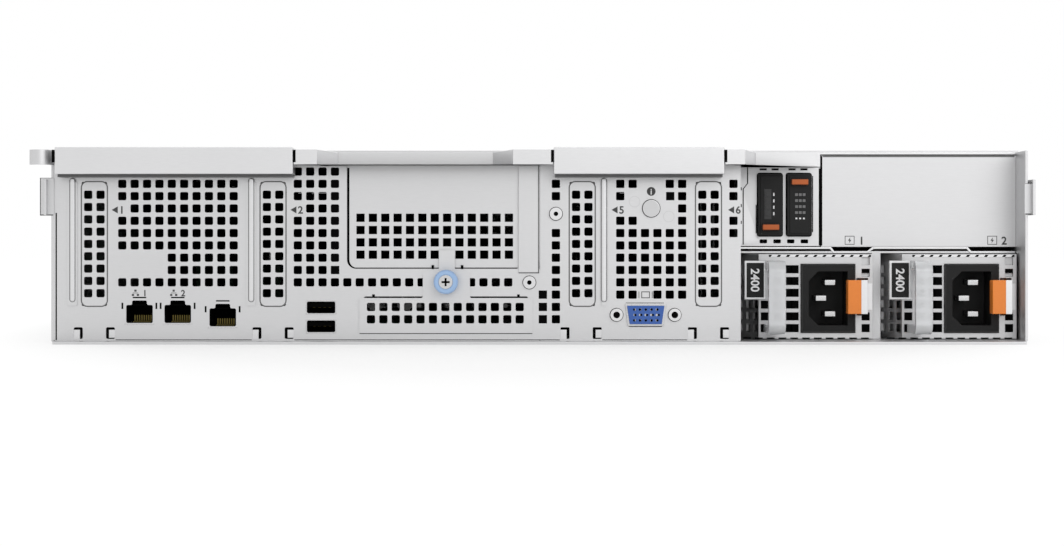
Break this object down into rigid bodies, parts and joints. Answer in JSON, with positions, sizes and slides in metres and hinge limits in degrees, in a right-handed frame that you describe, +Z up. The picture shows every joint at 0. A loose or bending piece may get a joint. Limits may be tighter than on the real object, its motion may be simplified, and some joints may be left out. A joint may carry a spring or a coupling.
{
  "type": "rack server",
  "caption": "Two-unit rack server with vented rear walls, plug-in power supplies, card slots, sockets, lift-off cover, fans, drive carriers and rack ears.",
  "frame": {"origin": "under the middle of the server, on the surface that it stands on", "axes": "+X to the right seen from behind, +Y from the rear panel to the front ears, +Z up"},
  "size_m": [0.4826, 0.892, 0.0868],
  "materials": {
    "zinc_sheet": "zinc-plated steel sheet, fine rolled grain",
    "bright_sheet": "bright plated sheet",
    "black_plastic": "moulded black plastic",
    "orange_plastic": "moulded orange plastic",
    "clear_plastic": "milky translucent plastic",
    "blue_plastic": "moulded blue plastic",
    "pale_blue_plastic": "pale blue knurled plastic",
    "circuit_board": "solder-masked glass fibre board",
    "aluminium": "extruded aluminium",
    "supply_metal": "plated power supply case",
    "dark_metal": "black anodised aluminium"
  },
  "bodies": {
    "chassis": {"chassis_tray": "zinc_sheet", "rear_bridge": "bright_sheet", "slot_bar_left": "bright_sheet", "slot_bar_right": "bright_sheet", "rear_wall_left": "zinc_sheet", "rear_wall_right": "zinc_sheet", "ethernet_port_1": "bright_sheet", "ethernet_port_2": "bright_sheet", "management_port": "bright_sheet", "usb_ports": "bright_sheet", "display_connector": "blue_plastic", "panel_nuts": "bright_sheet", "slot_1_filler": "zinc_sheet", "slot_2_filler": "zinc_sheet", "slot_5_filler": "zinc_sheet", "slot_6_filler": "zinc_sheet", "middle_panel": "zinc_sheet", "card_blank": "zinc_sheet", "boot_frame": "zinc_sheet", "blank_panel": "zinc_sheet", "supply_cage": "zinc_sheet", "system_board": "circuit_board", "heat_sinks": "aluminium", "memory_modules": "circuit_board", "fan_frames": "black_plastic", "accelerator_cards": "black_plastic", "front_grilles": "dark_metal", "drive_cage": "zinc_sheet", "ear_left": "black_plastic", "ear_right": "black_plastic", "rail_studs": "zinc_sheet"},
    "top_cover": {"top_cover": "zinc_sheet"},
    "cover_latch": {"cover_latch": "black_plastic"},
    "captive_screw": {"captive_screw": "pale_blue_plastic"},
    "locator_button": {"locator_button": "bright_sheet"},
    "power_button": {"power_button": "black_plastic"},
    "slam_latch_left": {"slam_latch_left": "black_plastic"},
    "slam_latch_right": {"slam_latch_right": "black_plastic"},
    "supply_1": {"supply_1_case": "supply_metal", "supply_1_inlet": "black_plastic", "supply_1_handle": "clear_plastic"},
    "supply_1_latch": {"supply_1_latch": "orange_plastic"},
    "boot_module_1": {"boot_module_1": "black_plastic"},
    "supply_2": {"supply_2_case": "supply_metal", "supply_2_inlet": "black_plastic", "supply_2_handle": "clear_plastic"},
    "supply_2_latch": {"supply_2_latch": "orange_plastic"},
    "boot_module_2": {"boot_module_2": "black_plastic"},
    "fan_rotor_1": {"fan_rotor_1": "black_plastic"},
    "drive_carrier_1": {"drive_carrier_1": "dark_metal"},
    "drive_lever_1": {"drive_lever_1": "black_plastic"},
    "fan_rotor_2": {"fan_rotor_2": "black_plastic"},
    "drive_carrier_2": {"drive_carrier_2": "dark_metal"},
    "drive_lever_2": {"drive_lever_2": "black_plastic"},
    "fan_rotor_3": {"fan_rotor_3": "black_plastic"},
    "drive_carrier_3": {"drive_carrier_3": "dark_metal"},
    "drive_lever_3": {"drive_lever_3": "black_plastic"},
    "fan_rotor_4": {"fan_rotor_4": "black_plastic"},
    "drive_carrier_4": {"drive_carrier_4": "dark_metal"},
    "drive_lever_4": {"drive_lever_4": "black_plastic"}
  },
  "joints": [
    {"name": "cover_lift", "type": "slide", "parent": "chassis", "child": "top_cover", "axis": [0, 0, 1], "range_m": [0, 0.12]},
    {"name": "cover_latch_swing", "type": "hinge", "parent": "top_cover", "child": "cover_latch", "pos_m": [0, 0.157, 0.0845], "axis": [1, 0, 0], "range_deg": [0, 70]},
    {"name": "captive_screw_turn", "type": "hinge", "parent": "chassis", "child": "captive_screw", "pos_m": [-0.0414, -0.441, 0.0274], "axis": [0, 1, 0], "continuous": true},
    {"name": "locator_button_press", "type": "slide", "parent": "chassis", "child": "locator_button", "axis": [0, 1, 0], "range_m": [0, 0.0008], "stiffness_N_per_m": 400},
    {"name": "power_button_press", "type": "slide", "parent": "chassis", "child": "power_button", "axis": [0, -1, 0], "range_m": [0, 0.0008], "stiffness_N_per_m": 400},
    {"name": "slam_latch_left_swing", "type": "hinge", "parent": "chassis", "child": "slam_latch_left", "pos_m": [-0.2325, 0.4294, 0.02], "axis": [-1, 0, 0], "range_deg": [0, 60]},
    {"name": "slam_latch_right_swing", "type": "hinge", "parent": "chassis", "child": "slam_latch_right", "pos_m": [0.2325, 0.4294, 0.02], "axis": [-1, 0, 0], "range_deg": [0, 60]},
    {"name": "supply_1_slide", "type": "slide", "parent": "chassis", "child": "supply_1", "axis": [0, -1, 0], "range_m": [0, 0.2]},
    {"name": "supply_1_latch_press", "type": "slide", "parent": "supply_1", "child": "supply_1_latch", "axis": [-1, 0, 0], "range_m": [0, 0.0014], "stiffness_N_per_m": 500},
    {"name": "boot_module_1_slide", "type": "slide", "parent": "chassis", "child": "boot_module_1", "axis": [0, -1, 0], "range_m": [0, 0.115]},
    {"name": "supply_2_slide", "type": "slide", "parent": "chassis", "child": "supply_2", "axis": [0, -1, 0], "range_m": [0, 0.2]},
    {"name": "supply_2_latch_press", "type": "slide", "parent": "supply_2", "child": "supply_2_latch", "axis": [-1, 0, 0], "range_m": [0, 0.0014], "stiffness_N_per_m": 500},
    {"name": "boot_module_2_slide", "type": "slide", "parent": "chassis", "child": "boot_module_2", "axis": [0, -1, 0], "range_m": [0, 0.115]},
    {"name": "fan_rotor_1_spin", "type": "hinge", "parent": "chassis", "child": "fan_rotor_1", "pos_m": [-0.15, 0.069, 0.0413], "axis": [0, 1, 0], "continuous": true},
    {"name": "drive_carrier_1_slide", "type": "slide", "parent": "chassis", "child": "drive_carrier_1", "axis": [0, 1, 0], "range_m": [0, 0.116]},
    {"name": "drive_lever_1_swing", "type": "hinge", "parent": "drive_carrier_1", "child": "drive_lever_1", "pos_m": [-0.0285, 0.42125, 0.011], "axis": [-1, 0, 0], "range_deg": [0, 65]},
    {"name": "fan_rotor_2_spin", "type": "hinge", "parent": "chassis", "child": "fan_rotor_2", "pos_m": [-0.05, 0.069, 0.0413], "axis": [0, 1, 0], "continuous": true},
    {"name": "drive_carrier_2_slide", "type": "slide", "parent": "chassis", "child": "drive_carrier_2", "axis": [0, 1, 0], "range_m": [0, 0.116]},
    {"name": "drive_lever_2_swing", "type": "hinge", "parent": "drive_carrier_2", "child": "drive_lever_2", "pos_m": [-0.0095, 0.42125, 0.011], "axis": [-1, 0, 0], "range_deg": [0, 65]},
    {"name": "fan_rotor_3_spin", "type": "hinge", "parent": "chassis", "child": "fan_rotor_3", "pos_m": [0.05, 0.069, 0.0413], "axis": [0, 1, 0], "continuous": true},
    {"name": "drive_carrier_3_slide", "type": "slide", "parent": "chassis", "child": "drive_carrier_3", "axis": [0, 1, 0], "range_m": [0, 0.116]},
    {"name": "drive_lever_3_swing", "type": "hinge", "parent": "drive_carrier_3", "child": "drive_lever_3", "pos_m": [0.0095, 0.42125, 0.011], "axis": [-1, 0, 0], "range_deg": [0, 65]},
    {"name": "fan_rotor_4_spin", "type": "hinge", "parent": "chassis", "child": "fan_rotor_4", "pos_m": [0.15, 0.069, 0.0413], "axis": [0, 1, 0], "continuous": true},
    {"name": "drive_carrier_4_slide", "type": "slide", "parent": "chassis", "child": "drive_carrier_4", "axis": [0, 1, 0], "range_m": [0, 0.116]},
    {"name": "drive_lever_4_swing", "type": "hinge", "parent": "drive_carrier_4", "child": "drive_lever_4", "pos_m": [0.0285, 0.42125, 0.011], "axis": [-1, 0, 0], "range_deg": [0, 65]}
  ]
}
